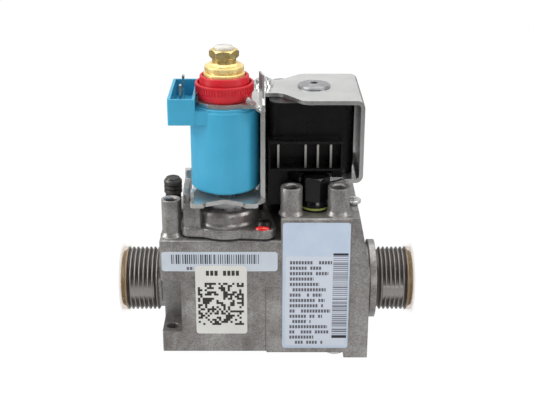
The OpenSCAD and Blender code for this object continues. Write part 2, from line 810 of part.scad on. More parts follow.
// Red ring nut: ribbed rim and inner collar with a groove between them
module coil_ring_nut() {
    rim_h = 6.4;
    color(red) translate([mod_x, mod_y, ring_z]) difference() {
        union() {
            rotate_extrude($fn = 96)
                polygon([[0, 0], [ring_nut_r - 1.3, 0], [ring_nut_r - 0.9, 0.4],
                         [ring_nut_r - 0.3, 3.6], [ring_nut_r - 0.3, rim_h - 1],
                         [ring_nut_r, rim_h - 0.8], [ring_nut_r, rim_h - 0.2],
                         [ring_nut_r - 0.2, rim_h], [ring_nut_r - 0.9, rim_h],
                         [ring_nut_r - 1, 3.4], [9.9, 3.4], [9.5, 8.9], [9.2, 9.2],
                         [8.5, 9.2], [8.5, 8], [0, 8]]);
            for (i = [0 : ring_nut_ribs - 1])
                rotate(i * 360 / ring_nut_ribs) translate([ring_nut_r - 1.4, -0.16, 2.9])
                    cube([1.35, 0.32, rim_h - 3.8]);
        }
        translate([0, 0, -1]) cylinder(r = guide_r + fit_gap, h = 10);
    }
}

// Brass head screwed on the guide tube
module adjuster_body() {
    color(brass_colour) difference() {
        union() {
            translate([mod_x, mod_y, head_z]) rotate_extrude()
                polygon([[0, 0], [7.6, 0], [8.0, 0.4], [8.0, 1.9], [7.7, 2.2], [7.1, 2.4], [7.1, 2.7],
                         [7.6, 3.0], [7.6, 4.4], [7.2, 4.9], [6.0, 5.2], [5.3, 5.8], [5.2, 6.0],
                         [0, 6.0]]);
            rod(mod_x, mod_y, stem_z, head_z + 1, guide_bore_r - 0.05);
        }
        rod(mod_x, mod_y, stem_z - 1, head_z + 8, 3);
    }
}

// Hexagon nut that sets the highest pressure, with its threaded stem
module max_pressure_nut() {
    neck_z = head_z + 6.1;
    hex_h = 3.3;
    color(brass_colour) translate([mod_x, mod_y, 0]) difference() {
        union() {
            translate([0, 0, neck_z]) cylinder(r = 4.6, h = hex_z - neck_z + eps);
            intersection() {
                translate([0, 0, hex_z]) cylinder(d = adjust_af / cos(30), h = hex_h, $fn = 6);
                translate([0, 0, hex_z]) rotate_extrude()
                    polygon([[0, 0], [4.9, 0], [5.8, 0.7], [5.8, hex_h - 0.7], [4.9, hex_h], [0, hex_h]]);
            }
            translate([0, 0, stem_z + 2]) cylinder(r = 3 - fit_gap, h = neck_z - stem_z - 2 + eps);
        }
        translate([0, 0, stem_z + 1]) cylinder(r = 1.6, h = 30);
        translate([0, 0, hex_z + 0.6]) cylinder(r = 3.65, h = 4);
    }
}

// Nylon screw that sets the lowest pressure
module min_pressure_screw() {
    color([0.93, 0.91, 0.86]) translate([mod_x, mod_y, 0]) difference() {
        union() {
            translate([0, 0, nylon_z]) rotate_extrude()
                polygon([[0, 0], [3.6, 0], [3.6, 3.2], [3.3, 3.8], [2.6, 4.15], [0, 4.2]]);
            translate([0, 0, stem_z + 3]) cylinder(r = 1.6 - fit_gap, h = nylon_z - stem_z - 3 + eps);
        }
        translate([-4, -0.4, nylon_z + 3.4]) cube([8, 0.8, 3]);
    }
}

// ---------- Solenoid head ----------

module head_gasket() {
    color(rubber_colour) difference() {
        rod(ev1_x, ev1_y, turret_z, tube_flange_z, turret_r - 0.6);
        rod(ev1_x, ev1_y, turret_z - 1, tube_flange_z + 1, ev1_chamber_r);
        for (x = [-1, 1]) rod(ev1_x + 13.2 * x, ev1_y, turret_z - 1, tube_flange_z + 1, 1.15);
    }
}

module ev1_tube() {
    color(steel) difference() {
        union() {
            rod(ev1_x, ev1_y, tube_flange_z, lip_z - 0.05, turret_r);
            rod(ev1_x, ev1_y, tube_flange_z, coil_top_z - 0.1, ev1_tube_r[1]);
        }
        rod(ev1_x, ev1_y, tube_flange_z - 1, ev1_core_z, ev1_tube_r[0]);
        rod(ev1_x, ev1_y, ev1_core_z + 3, coil_top_z + 1, 2.1);
        for (x = [-1, 1]) translate([ev1_x + 13.2 * x, ev1_y, tube_flange_z]) {
            cylinder(r = 1.15, h = 4);
            translate([0, 0, 0.9]) cylinder(r1 = 1.15, r2 = 2.3, h = 1.16);
        }
    }
}

module tube_flange_screws() {
    color(steel) for (x = [-1, 1]) translate([ev1_x + 13.2 * x, ev1_y, tube_flange_z]) {
        translate([0, 0, -8]) cylinder(r = 1.1, h = 9);
        translate([0, 0, 0.9]) cylinder(r1 = 1.1, r2 = 2.1, h = 1);
    }
}

// Plunger of the safety solenoid: rod in the tube, plate over the seat
module ev1_plunger() {
    color(steel) {
        rod(ev1_x, ev1_y, 62, ev1_core_z - ev1_lift - 0.1, ev1_tube_r[0] - fit_gap);
        rod(ev1_x, ev1_y, ev1_seat_z + 2, 63, 3);
        rod(ev1_x, ev1_y, ev1_seat_z + 1.9, ev1_seat_z + 3.4, 9);
    }
}

module ev1_valve_disc() {
    color(rubber_colour) rod(ev1_x, ev1_y, ev1_seat_z + 0.1, ev1_seat_z + 1.9, 8.6);
}

module ev1_spring() {
    z0 = ev1_seat_z + 3.6;
    color(steel) translate([ev1_x, ev1_y, 0]) spring(z0, tube_flange_z - z0 - 0.1, 8.3, 0.5, 6);
}

module solenoid_winding(x, y, bobbin_r) {
    color(copper) tube(x, y, coil_floor_z + 4.05, coil_top_z - 4.05,
                       bobbin_r[0] + fit_gap, bobbin_r[1] - fit_gap);
}

module ev1_winding() { solenoid_winding(ev1_x, ev1_y, ev1_bobbin_r); }
module ev2_winding() { solenoid_winding(ev2_x, ev2_y, ev2_bobbin_r); }

module ev2_tube() {
    color(steel) difference() {
        union() {
            rod(ev2_x, ev2_y, ev2_boss_z + 0.05, high_top_z - 0.5, 6.6);
            rod(ev2_x, ev2_y, ev2_seat_z + 4, coil_top_z + 0.05, ev2_tube_r[1]);
            rod(ev2_x, ev2_y, coil_top_z, bracket_top_z + 3, 2);
        }
        rod(ev2_x, ev2_y, ev2_seat_z - 1, ev2_core_z, ev2_tube_r[0]);
    }
}

module ev2_plunger() {
    color(steel) rod(ev2_x, ev2_y, ev2_seat_z + 0.1, ev2_core_z - 8, ev2_tube_r[0] - fit_gap);
}

module ev2_spring() {
    color(steel) translate([ev2_x, ev2_y, 0]) spring(ev2_core_z - 7.9, 7.8, 2.7, 0.4, 4);
}

// Black moulded block round both windings, with the plug socket in front
module solenoid_coils() {
    color(black) difference() {
        union() {
            rounded_block([1, ev1_block_y, coil_floor_z], [block_x, 26.6, coil_top_z], 5);
            rounded_block([3.4, lip_front_y, coil_seat_z], [block_x, 26.2, coil_floor_z + 1], 4);
            rod(ev2_x, ev2_y, coil_floor_z, coil_top_z, ev2_coil_r);
            plug_block();
        }
        rod(ev1_x, ev1_y, 60, coil_top_z + 1, ev1_tube_r[1] + fit_gap);
        rod(ev2_x, ev2_y, 60, coil_top_z + 1, ev2_tube_r[1] + fit_gap);
        tube(ev1_x, ev1_y, coil_floor_z + 4, coil_top_z - 4, ev1_bobbin_r[0], ev1_bobbin_r[1]);
        tube(ev2_x, ev2_y, coil_floor_z + 4, coil_top_z - 4, ev2_bobbin_r[0], ev2_bobbin_r[1]);
        plug_mouth();
        for (x = pin_x) plug_slot(x);
    }
}

plug_x = [0.4, 29.8];
plug_y = [-15.3, -6];
plug_z = [78, 90];
// Contact positions, the first one set apart as the earth contact
pin_x = [4.4, 15.1, 19.9, 25.0];

// Plug socket, and the skirt under its left end
module plug_block() {
    rounded_block([plug_x[0], plug_y[0], plug_z[0]], [plug_x[1], 2, plug_z[1]], 0.8);
    translate([plug_x[0], plug_y[0] + 2.2, skirt_z]) cube([7.8, 9, coil_floor_z + 2 - skirt_z]);
    translate([plug_x[0], -4.2, skirt_z]) cube([3, 9, coil_floor_z + 2 - skirt_z]);
    translate([25.8, -12, lip_z + 1.9]) cube([plug_x[1] - 25.8, 4, plug_z[0] - lip_z - 1]);
}

module plug_mouth() {
    wall = 0.9;
    translate([plug_x[0] + wall, plug_y[0] - 1, plug_z[0] + wall])
        cube([plug_x[1] - plug_x[0] - 2 * wall, 8.4, plug_z[1] - plug_z[0] - 2 * wall]);
}

module plug_slot(x) {
    translate([x - blade_t / 2, plug_y[0] + 7, plug_z[0] + 1.2])
        cube([blade_t, 1.6, plug_z[1] - plug_z[0] - 2.4]);
}

module solenoid_terminals() {
    color(steel) for (x = pin_x)
        translate([x - blade_t / 2, plug_y[0] + 0.4, plug_z[0] + 1.2])
            cube([blade_t, 8.2, plug_z[1] - plug_z[0] - 2.4]);
}

// Zinc-plated sheet frame: top plate, right side and lip under the coils
module solenoid_bracket() {
    front_y = -13.5;
    color(zinc) difference() {
        union() {
            bracket_top_plate(front_y);
            bracket_side(front_y);
            // lip under the large coil, ending round its tube
            rod(ev1_x, ev1_y, lip_z, lip_z + bracket_t, 13.4);
            translate([ev1_x, lip_front_y, lip_z])
                cube([bracket_right_x - 3 - ev1_x, 26, bracket_t]);
            translate([plug_x[1] + 0.5, front_y, lip_z])
                cube([bracket_right_x - 3 - plug_x[1] - 0.5, 8, bracket_t]);
        }
        rod(ev1_x, ev1_y, lip_z - 1, lip_z + bracket_t + 1, ev1_tube_r[1] + 0.15);
        rod(ev1_x, ev1_y, coil_top_z, bracket_top_z + 1, 2.7);
        rod(ev2_x, ev2_y, coil_top_z, bracket_top_z + 1, 2.15);
    }
}

// Top plate: full depth over the large coil, narrowed to a tongue at the left
module bracket_top_plate(front_y) {
    z0 = bracket_top_z - bracket_t;
    rounded_block([13.5, front_y, z0], [bracket_right_x - 2.5, half_depth, bracket_top_z], 2.5);
    translate([20, front_y, z0]) cube([bracket_right_x - 22.9, half_depth - front_y, bracket_t]);
    rounded_block([-7.6, tongue_y, z0], [20, 18.7, bracket_top_z], 4);
    // swept blends into the tongue, front and back
    translate([0, 0, z0]) linear_extrude(height = bracket_t)
        polygon(concat(
            [for (i = [0 : 10]) [4 + i * 1.2, tongue_y + (front_y - tongue_y) * (1 - cos(18 * i)) / 2]],
            [for (i = [0 : 10]) [16 - i * 1.2, 18.7 + (half_depth - 18.7) * (1 + cos(18 * i)) / 2]]));
}

// Side plate with rounded bends into the top plate and the lip
module bracket_side(front_y) {
    r = 3;
    depth = half_depth - front_y;
    x = bracket_right_x - r;
    translate([bracket_right_x - bracket_t, front_y, lip_z + r])
        cube([bracket_t, depth, bracket_top_z - lip_z - 2 * r]);
    translate([x, half_depth, bracket_top_z - r]) rotate([90, 0, 0]) bend(r, depth, 0);
    translate([x, half_depth, lip_z + r]) rotate([90, 0, 0]) bend(r, depth, -90);
}

// Quarter-round bend of the sheet along +Z, turned by a degrees
module bend(r, length, a) {
    rotate(a) rotate_bend_slice(r, length);
}

module rotate_bend_slice(r, length) {
    intersection() {
        difference() {
            cylinder(r = r, h = length);
            translate([0, 0, -1]) cylinder(r = r - bracket_t, h = length + 2);
        }
        translate([0, 0, -1]) cube([r + 1, r + 1, length + 2]);
    }
}

module ev1_top_screw() {
    color(steel) translate([ev1_x, ev1_y, bracket_top_z]) difference() {
        union() {
            rotate_extrude() polygon([[0, 0], [6.5, 0], [6.7, 0.4], [6.2, 1], [2.6, 1.5], [0, 1.5]]);
            translate([0, 0, -8]) cylinder(r = 2.05, h = 8 + eps);
        }
        translate([0, 0, 0.3]) cylinder(r = 1.5, h = 2);
    }
}

module ev2_top_nut() {
    color(zinc) translate([ev2_x, ev2_y, bracket_top_z]) difference() {
        union() {
            cylinder(r = 4.1, h = 0.8);
            translate([0, 0, 0.8 - eps]) cylinder(r = 3.2, h = 1.6);
        }
        translate([0, 0, -1]) cylinder(r = 2.02, h = 5);
    }
}

// ---------- Service parts on top ----------

module service_cap_gasket() {
    color([0.72, 0.76, 0.30]) tube(cap_x, cap_y, high_top_z - 0.35, high_top_z + cap_seal_h, 3.15, 5.6);
}

module service_cap() {
    z0 = high_top_z + cap_seal_h + 0.05;
    base_z = z0 + 2.6;
    hex_h = 10.2;
    color(black) translate([cap_x, cap_y, 0]) {
        translate([0, 0, z0]) rotate_extrude()
            polygon([[0, 0], [5.6, 0], [5.6, 1.2], [5.1, 2.7], [0, 2.7]]);
        intersection() {
            translate([0, 0, base_z]) rotate(45) cylinder(d = 11.9, h = hex_h, $fn = 6);
            translate([0, 0, base_z - 1]) rotate_extrude()
                polygon([[0, 0], [6.2, 0], [6.2, hex_h - 0.6], [5.1, hex_h + 0.5], [0, hex_h + 1]]);
        }
        translate([0, 0, 54]) cylinder(r = 3.05, h = z0 - 54 + eps);
    }
}

module test_nipple() {
    color([0.30, 0.30, 0.30]) translate([nipple_x, nipple_y, low_top_z + 2]) difference() {
        union() {
            rotate_extrude()
                polygon([[0, 0], [3.9, 0], [3.9, 1.4], [3.2, 2], [3.2, 9.4], [3.7, 9.8], [3.7, 10.8],
                         [3.4, 11.1], [3.4, 11.4], [3.7, 11.7], [3.7, 12.5], [3.4, 12.8],
                         [3.4, 13.1], [3.7, 13.4], [3.7, 14.7], [3.2, 15.4], [0, 15.4]]);
            translate([0, 0, -6]) cylinder(r = 2.55, h = 6 + eps);
        }
        translate([0, 0, -7]) cylinder(r = 1.2, h = 13);
        translate([0, 0, 5]) cylinder(r = 1.9, h = 20);
    }
}

module test_nipple_screw() {
    top = low_top_z + 2 + 15.4;
    color(steel) translate([nipple_x, nipple_y, 0]) difference() {
        union() {
            translate([0, 0, top + 0.05]) rotate_extrude()
                polygon([[0, 0], [2.9, 0], [2.7, 0.6], [1.8, 1.0], [0, 1.1]]);
            translate([0, 0, top - 9]) cylinder(r = 1.85, h = 9.1);
        }
        translate([-4, -0.35, top + 0.5]) cube([8, 0.7, 2]);
    }
}

// Zinc-plated sealing screw of the second test point
module side_test_screw() {
    color(zinc) translate([side_screw_x, side_screw_y, high_top_z + 0.05]) difference() {
        union() {
            rotate_extrude() polygon([[0, 0], [2.9, 0], [3.4, 0.4], [3.4, 1.3], [3.1, 1.6], [0, 1.7]]);
            translate([0, 0, -8]) cylinder(r = side_screw_r - fit_gap, h = 8 + eps);
        }
        translate([0, 0, 0.9]) cross_recess(3.2, 2);
    }
}

// ---------- Assembly ----------

body_casting();
left_dust_seal();
right_dust_seal();
inlet_filter();
bottom_cover();
bottom_gasket();
bottom_cover_screws();
main_diaphragm();
main_valve();
main_valve_disc();
main_seat_ring();
main_spring();
regulator_gasket();
regulator_cover();
cover_screws();
seal_lacquer();
regulator_diaphragm();
modulator_bracket();
guide_tube();
modulator_coil();
modulator_winding();
modulator_terminals();
armature();
modulator_spring();
coil_ring_nut();
adjuster_body();
max_pressure_nut();
min_pressure_screw();
head_gasket();
ev1_tube();
ev1_plunger();
ev1_valve_disc();
ev1_spring();
ev1_winding();
ev2_tube();
ev2_plunger();
ev2_spring();
ev2_winding();
solenoid_coils();
solenoid_terminals();
solenoid_bracket();
ev1_top_screw();
ev2_top_nut();
service_cap();
service_cap_gasket();
test_nipple();
test_nipple_screw();
side_test_screw();
tube_flange_screws();
strip_label();
code_label();
rating_label();
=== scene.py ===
"""Gas combination valve: finish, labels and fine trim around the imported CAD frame."""
import json
import math

import bmesh
import bpy
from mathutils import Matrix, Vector


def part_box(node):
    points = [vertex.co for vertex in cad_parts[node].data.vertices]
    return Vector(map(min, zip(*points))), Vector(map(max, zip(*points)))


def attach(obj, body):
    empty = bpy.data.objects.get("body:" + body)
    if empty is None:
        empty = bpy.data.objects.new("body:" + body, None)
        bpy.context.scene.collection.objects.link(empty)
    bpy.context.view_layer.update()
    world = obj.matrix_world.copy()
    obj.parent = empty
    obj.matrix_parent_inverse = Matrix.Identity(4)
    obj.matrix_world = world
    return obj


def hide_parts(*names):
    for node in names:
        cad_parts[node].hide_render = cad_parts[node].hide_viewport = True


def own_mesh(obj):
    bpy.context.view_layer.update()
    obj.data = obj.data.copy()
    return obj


MM = 0.001
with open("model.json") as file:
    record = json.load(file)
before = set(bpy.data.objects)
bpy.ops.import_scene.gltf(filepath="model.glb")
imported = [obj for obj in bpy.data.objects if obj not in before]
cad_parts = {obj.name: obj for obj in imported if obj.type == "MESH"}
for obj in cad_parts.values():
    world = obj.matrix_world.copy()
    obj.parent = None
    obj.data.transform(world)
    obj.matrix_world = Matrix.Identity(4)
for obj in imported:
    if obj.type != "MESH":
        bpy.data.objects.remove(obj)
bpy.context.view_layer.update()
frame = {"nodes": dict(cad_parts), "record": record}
scene = bpy.context.scene

# ---------------------------------------------------------------- places

casting_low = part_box("body_casting")[0]
seal_low, seal_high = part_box("left_dust_seal")
PORT_Y = (seal_low[1] + seal_high[1]) / 2
PORT_Z = (seal_low[2] + seal_high[2]) / 2
# the casting is bare port and thread past this distance from its middle
PORT_START = 45.2 * MM
# faint line where the right half of the casting's front begins
SEAM_X = (-0.72 * MM, -0.36 * MM)
SEAM_Z = (3.7 * MM, 32.8 * MM)


def centre_of(node):
    low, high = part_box(node)
    return Vector([(a + b) / 2 for a, b in zip(low, high)])


# ---------------------------------------------------------------- camera and light

PICTURE_WIDTH = 534
LENS_PIXELS = 1050
SENSOR_WIDTH = 36
CAMERA_PITCH = math.radians(21.5)
CAMERA_BACK = 0.402
CAMERA_UP = 0.1937
CAMERA_NEAR = 0.01

ROOM_MIDDLE = (0, 0, 0.06)
# name, place and size in metres, power in watts
SOFTBOXES = (
    ("top_softbox", (0.0, 0.15, 0.75), (1.2, 0.9), 7.6),
    ("left_softbox", (-0.7, -0.15, 0.35), (0.25, 0.6), 4.6),
    ("right_softbox", (0.7, -0.3, 0.3), (0.25, 0.5), 2.2),
    ("front_fill", (0.3, -0.85, 0.3), (0.4, 0.25), 1.4),
)

# how bright the room is to each kind of ray; mirror rays see it darker towards the camera
ROOM_TO_CAMERA = 1.0
ROOM_TO_OTHERS = 0.20
ROOM_MIRRORED = (0.04, 0.80)
ROOM_DIRECTIONS = (-0.9, 0.9)

FLOOR_HALF_SIZE = 4
FLOOR_GAP = 0.1 * MM
FLOOR_GREY = 0.82
FLOOR_ROUGHNESS = 0.9
# the floor's own light, and the share of it that each kind of ray sees
GLOW_TO_CAMERA = 1.03
GLOW_SHARE_TO_CAMERA = 0.96
# mirror rays see the floor bright beside the valve and dark further out
GLOW_MIRRORED = (0.75, 0.12)
GLOW_DISTANCES = (0.07, 0.36)


def add_camera():
    data = bpy.data.cameras.new("camera")
    data.sensor_width = SENSOR_WIDTH
    data.lens = SENSOR_WIDTH * LENS_PIXELS / PICTURE_WIDTH
    data.clip_start = CAMERA_NEAR
    camera = bpy.data.objects.new("camera", data)
    camera.location = (0, PORT_Y - CAMERA_BACK, PORT_Z + CAMERA_UP)
    camera.rotation_euler = (math.pi / 2 - CAMERA_PITCH, 0, 0)
    scene.collection.objects.link(camera)
    scene.camera = camera


def add_softbox(name, place, size, power):
    """Rectangular light that faces the middle of the valve."""
    data = bpy.data.lights.new(name, "AREA")
    data.shape = "RECTANGLE"
    data.size, data.size_y = size
    data.energy = power
    light = bpy.data.objects.new(name, data)
    light.location = place
    aim = Vector(ROOM_MIDDLE) - Vector(place)
    light.rotation_euler = aim.to_track_quat("-Z", "Y").to_euler()
    scene.collection.objects.link(light)


def set_socket(links, socket, value):
    """Gives a socket a number of its own, or a link to another socket."""
    if isinstance(value, (int, float)):
        socket.default_value = value
    else:
        links.new(value, socket)


def map_range(nodes, links, value, source, target):
    """The value moved from one range to another, and held at its ends."""
    node = nodes.new("ShaderNodeMapRange")
    for name, number in zip(("From Min", "From Max", "To Min", "To Max"), source + target):
        node.inputs[name].default_value = number
    links.new(value, node.inputs["Value"])
    return node.outputs[0]


def ray_share(nodes, links, shares):
    """A different value for camera, mirror and all other rays."""
    path = nodes.new("ShaderNodeLightPath")
    mirror = nodes.new("ShaderNodeMath")
    mirror.operation = "MAXIMUM"
    links.new(path.outputs["Is Glossy Ray"], mirror.inputs[0])
    links.new(path.outputs["Is Transmission Ray"], mirror.inputs[1])
    value = shares["other"]
    for ray, name in ((mirror.outputs[0], "mirror"), (path.outputs["Is Camera Ray"], "camera")):
        mix = nodes.new("ShaderNodeMix")
        mix.data_type = "FLOAT"
        links.new(ray, mix.inputs["Factor"])
        set_socket(links, mix.inputs["A"], value)
        set_socket(links, mix.inputs["B"], shares[name])
        value = mix.outputs["Result"]
    return value


def add_world():
    """White to the camera; dimmer in mirror rays, most of all on the camera's side."""
    world = bpy.data.worlds.new("studio")
    scene.world = world
    world.use_nodes = True
    nodes, links = world.node_tree.nodes, world.node_tree.links
    background = nodes["Background"]
    direction = nodes.new("ShaderNodeSeparateXYZ")
    links.new(nodes.new("ShaderNodeTexCoord").outputs["Generated"], direction.inputs[0])
    room = map_range(nodes, links, direction.outputs["Y"], ROOM_DIRECTIONS, ROOM_MIRRORED)
    strength = ray_share(nodes, links, {"camera": ROOM_TO_CAMERA, "mirror": room,
                                        "other": ROOM_TO_OTHERS})
    links.new(strength, background.inputs["Strength"])
    background.inputs["Color"].default_value = (1, 1, 1, 1)


def floor_finish():
    """Pale matt floor that glows white to the camera, so that the ground shows no edge."""
    material = bpy.data.materials.new("floor_white")
    material.use_nodes = True
    nodes, links = material.node_tree.nodes, material.node_tree.links
    shader = nodes["Principled BSDF"]
    shader.inputs["Base Color"].default_value = (FLOOR_GREY, FLOOR_GREY, FLOOR_GREY, 1)
    shader.inputs["Roughness"].default_value = FLOOR_ROUGHNESS
    away = nodes.new("ShaderNodeVectorMath")
    away.operation = "LENGTH"
    links.new(nodes.new("ShaderNodeTexCoord").outputs["Object"], away.inputs[0])
    mirrored = map_range(nodes, links, away.outputs["Value"], GLOW_DISTANCES, GLOW_MIRRORED)
    glow = nodes.new("ShaderNodeEmission")
    strength = ray_share(nodes, links, {"camera": GLOW_TO_CAMERA, "mirror": mirrored, "other": 0.0})
    links.new(strength, glow.inputs["Strength"])
    mix = nodes.new("ShaderNodeMixShader")
    share = ray_share(nodes, links, {"camera": GLOW_SHARE_TO_CAMERA, "mirror": 1.0, "other": 0.0})
    links.new(share, mix.inputs["Fac"])
    links.new(shader.outputs[0], mix.inputs[1])
    links.new(glow.outputs[0], mix.inputs[2])
    links.new(mix.outputs[0], nodes["Material Output"].inputs["Surface"])
    return material


def add_floor():
    mesh = bpy.data.meshes.new("floor")
    form = bmesh.new()
    bmesh.ops.create_grid(form, x_segments=1, y_segments=1, size=FLOOR_HALF_SIZE)
    form.to_mesh(mesh)
    form.free()
    floor = bpy.data.objects.new("floor", mesh)
    floor.location.z = min(casting_low[2], 0) - FLOOR_GAP
    scene.collection.objects.link(floor)
    mesh.materials.append(floor_finish())


# ---------------------------------------------------------------- material helpers

# a noise seldom leaves this range, so ramps over it run from the one to the other
NOISE_LOW = 0.3
NOISE_HIGH = 0.7
# ramps over the distance from the ports' axis cover this much
PORT_RAMP = 20 * MM
BEVEL_SAMPLES = 6


class Finish:
    """A node material under construction, in the coordinates of the part."""

    def __init__(self, name, **sockets):
        self.material = bpy.data.materials.new(name)
        self.material.use_nodes = True
        self.nodes = self.material.node_tree.nodes
        self.links = self.material.node_tree.links
        self.shader = self.nodes["Principled BSDF"]
        self.place = self.nodes.new("ShaderNodeTexCoord").outputs["Object"]
        self.normal = None
        for socket, value in sockets.items():
            self.shader.inputs[socket.replace("_", " ")].default_value = value

    # values that vary over the surface

    def noise(self, scale, detail=4, rough=0.55, stretch=None):
        """Noise from 0 to 1; scale is in features per metre."""
        node = self.nodes.new("ShaderNodeTexNoise")
        node.inputs["Scale"].default_value = scale
        node.inputs["Detail"].default_value = detail
        node.inputs["Roughness"].default_value = rough
        source = self.place
        if stretch:
            mapping = self.nodes.new("ShaderNodeMapping")
            mapping.inputs["Scale"].default_value = stretch
            self.links.new(source, mapping.inputs["Vector"])
            source = mapping.outputs[0]
        self.links.new(source, node.inputs["Vector"])
        return node.outputs[0]

    def ramp(self, value, stops):
        """Colours or greys over a value: stops are (position, colour)."""
        node = self.nodes.new("ShaderNodeValToRGB")
        elements = node.color_ramp.elements
        elements[0].position = stops[0][0]
        elements[-1].position = stops[-1][0]
        while len(elements) < len(stops):
            elements.new(stops[len(elements) - 1][0])
        for element, (position, colour) in zip(elements, stops):
            element.position = position
            element.color = (*colour, 1) if isinstance(colour, tuple) else (colour,) * 3 + (1,)
        self.links.new(value, node.inputs[0])
        return node.outputs[0]

    def drift(self, scale, low, high, detail=4):
        """Cloudy change from one colour or grey to another."""
        return self.ramp(self.noise(scale, detail), [(NOISE_LOW, low), (NOISE_HIGH, high)])

    def math(self, kind, a, b=0.0):
        node = self.nodes.new("ShaderNodeMath")
        node.operation = kind
        for socket, value in zip(node.inputs, (a, b)):
            set_socket(self.links, socket, value)
        return node.outputs[0]

    def mix(self, factor, a, b, blend="MIX"):
        node = self.nodes.new("ShaderNodeMix")
        node.data_type = "RGBA"
        node.blend_type = blend
        for name, value in (("Factor", factor), ("A", a), ("B", b)):
            socket = [s for s in node.inputs if s.name == name and s.enabled][0]
            if isinstance(value, tuple):
                socket.default_value = (*value, 1)
            else:
                set_socket(self.links, socket, value)
        return [s for s in node.outputs if s.enabled][0]

    def axis(self, name):
        node = self.nodes.new("ShaderNodeSeparateXYZ")
        self.links.new(self.place, node.inputs[0])
        return node.outputs[name]

    def radius(self, *centre):
        """Distance from a straight line; the centre is two pairs of axis and place."""
        squares = []
        for name, place in centre:
            away = self.math("SUBTRACT", self.axis(name), place)
            squares.append(self.math("MULTIPLY", away, away))
        return self.math("SQRT", self.math("ADD", *squares))

    def port_ramp(self, stops):
        """Ramp over the distance from the ports' axis, as a share of PORT_RAMP."""
        radius = self.radius(("Y", PORT_Y), ("Z", PORT_Z))
        return self.ramp(self.math("MULTIPLY", radius, 1 / PORT_RAMP), stops)

    def rings(self, value, rate):
        """Even ridges over a value; rate is in radians per metre."""
        return self.math("SINE", self.math("MULTIPLY", value, rate))

    def between(self, value, low, high):
        """1 where value lies between the two bounds."""
        above = self.math("GREATER_THAN", value, low)
        return self.math("MULTIPLY", above, self.math("LESS_THAN", value, high))

    def inside(self, area):
        """1 inside an upright rectangle (x0, z0, x1, z1)."""
        x0, z0, x1, z1 = area
        return self.math("MULTIPLY", self.between(self.axis("X"), x0, x1),
                         self.between(self.axis("Z"), z0, z1))

    def worn_edges(self, low, high):
        """Mask that is 1 on sharp outer edges."""
        geometry = self.nodes.new("ShaderNodeNewGeometry")
        return self.ramp(geometry.outputs["Pointiness"], [(low, 0.0), (high, 1.0)])

    # cells, for print

    def pitches(self, name, start, pitch):
        """Place along an axis, counted in pitches from the start."""
        return self.math("DIVIDE", self.math("SUBTRACT", self.axis(name), start), pitch)

    def cell(self, name, start, pitch):
        """Number of the cell along an axis."""
        return self.math("FLOOR", self.pitches(name, start, pitch))

    def in_cell(self, name, start, pitch):
        """Place within the cell along an axis, from 0 to 1."""
        return self.math("FRACT", self.pitches(name, start, pitch))

    def random_line(self, cell):
        """Random number from 0 to 1 for each cell of a row."""
        node = self.nodes.new("ShaderNodeTexWhiteNoise")
        node.noise_dimensions = "1D"
        self.links.new(cell, node.inputs["W"])
        return node.outputs["Value"]

    def chance(self, x, y, share):
        """1 in a random share of the cells of a grid."""
        both = self.nodes.new("ShaderNodeCombineXYZ")
        self.links.new(x, both.inputs["X"])
        self.links.new(y, both.inputs["Y"])
        node = self.nodes.new("ShaderNodeTexWhiteNoise")
        node.noise_dimensions = "2D"
        self.links.new(both.outputs[0], node.inputs["Vector"])
        return self.math("LESS_THAN", node.outputs["Value"], share)

    # what the shader gets

    def colour(self, value):
        self.links.new(value, self.shader.inputs["Base Color"])

    def roughness(self, value):
        self.links.new(value, self.shader.inputs["Roughness"])

    def alpha(self, value):
        self.links.new(value, self.shader.inputs["Alpha"])

    def set_normal(self, value):
        self.normal = value
        self.links.new(value, self.shader.inputs["Normal"])

    def soft_edges(self, radius):
        """Rounds the look of sharp moulded or cast edges."""
        node = self.nodes.new("ShaderNodeBevel")
        node.samples = BEVEL_SAMPLES
        node.inputs["Radius"].default_value = radius
        self.set_normal(node.outputs[0])

    def bump(self, height, strength, distance):
        node = self.nodes.new("ShaderNodeBump")
        node.inputs["Strength"].default_value = strength
        node.inputs["Distance"].default_value = distance
        self.links.new(height, node.inputs["Height"])
        if self.normal:
            self.links.new(self.normal, node.inputs["Normal"])
        self.set_normal(node.outputs[0])


# ---------------------------------------------------------------- metal finishes

# the cast skin, from its shaded to its rubbed tone, and what lies on it
SKIN_TONES = ((0.215, 0.203, 0.196), (0.305, 0.292, 0.283), (0.42, 0.405, 0.393))
STREAK = (0.44, 0.425, 0.41)
STAIN = (0.165, 0.142, 0.13)
SEAM = (0.09, 0.08, 0.075)
# painted shade on the threads: tones from the bottom of the grooves, darkest, to the crests
THREAD_SHADE_TONES = ((0.10, 0.09, 0.08), (0.22, 0.205, 0.195), (0.37, 0.35, 0.34))
BRASS_TONES = ((0.76, 0.54, 0.19), (0.94, 0.73, 0.30), (0.98, 0.83, 0.42))


